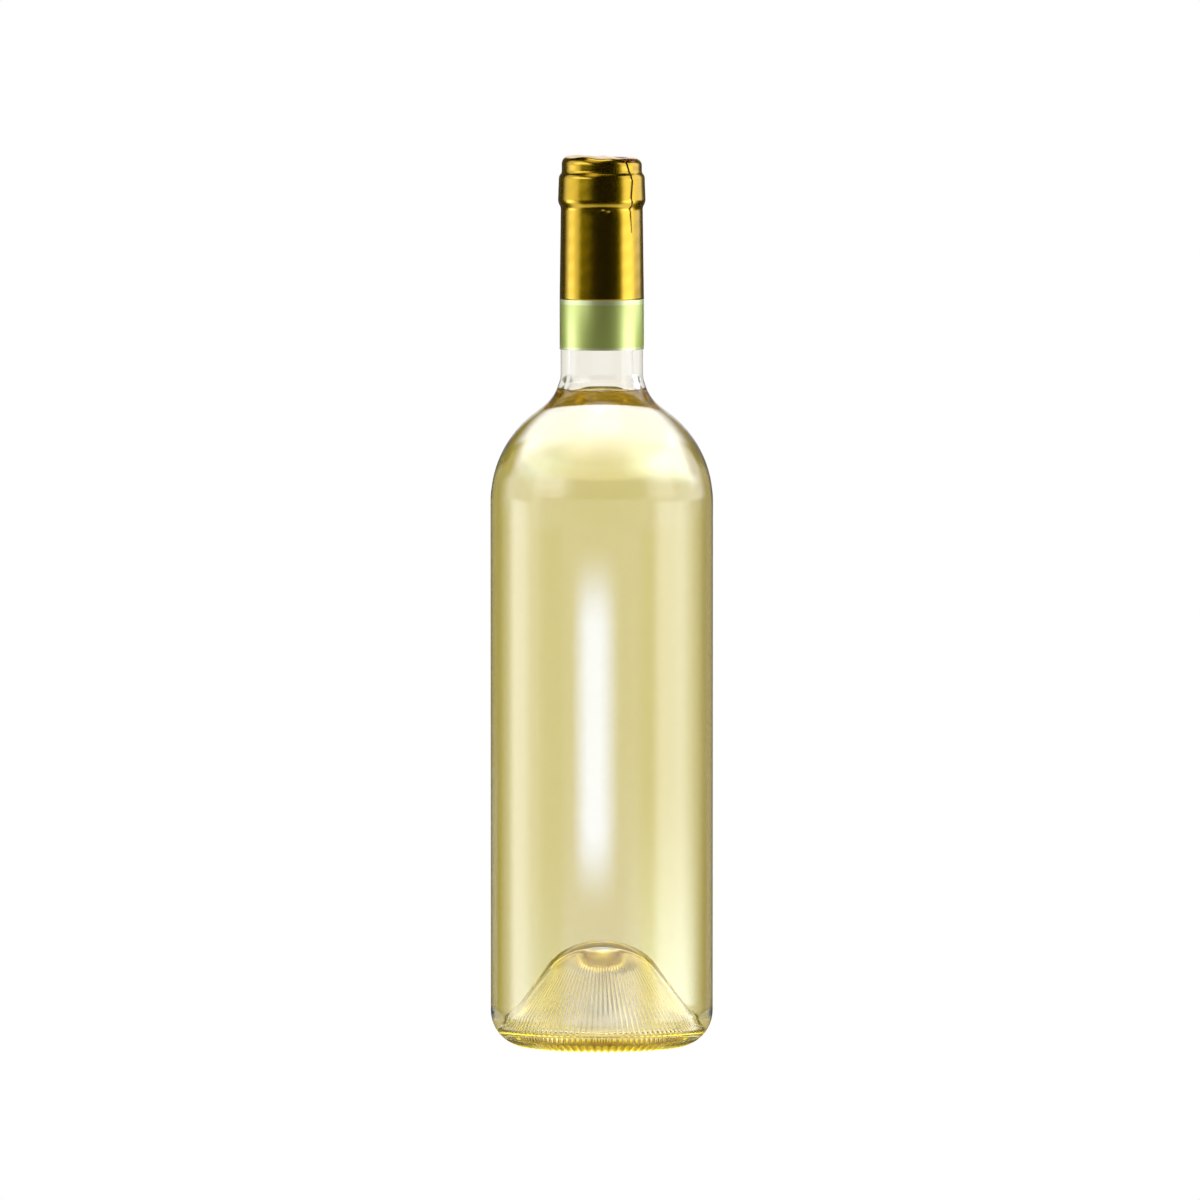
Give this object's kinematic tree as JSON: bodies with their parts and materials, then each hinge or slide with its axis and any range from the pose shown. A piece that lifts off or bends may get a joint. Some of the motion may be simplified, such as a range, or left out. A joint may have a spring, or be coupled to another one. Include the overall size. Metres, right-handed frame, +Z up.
{
  "type": "wine bottle",
  "caption": "Full clear-glass wine bottle with straight sides, round shoulder and deep fluted punt, pale white wine up to the neck, gold foil capsule and a green neck band.",
  "frame": {"origin": "centre of the ring that the bottle stands on, in the plane it rests on", "axes": "+Z up along the bottle's axis, from the base to the mouth; +X and +Y are level, and the bottle is round, so neither is special"},
  "size_m": [0.075, 0.075, 0.3],
  "materials": {
    "flint_glass": "clear moulded container glass, fire polished",
    "white_wine": "clear pale straw liquid",
    "gold_foil": "gold lacquered foil, satin, slightly wrinkled",
    "green_foil": "green lacquered foil with pale edge lines, satin"
  },
  "bodies": {
    "root": {"bottle": "flint_glass", "wine": "white_wine", "capsule": "gold_foil", "neck_band": "green_foil"}
  },
  "joints": []
}
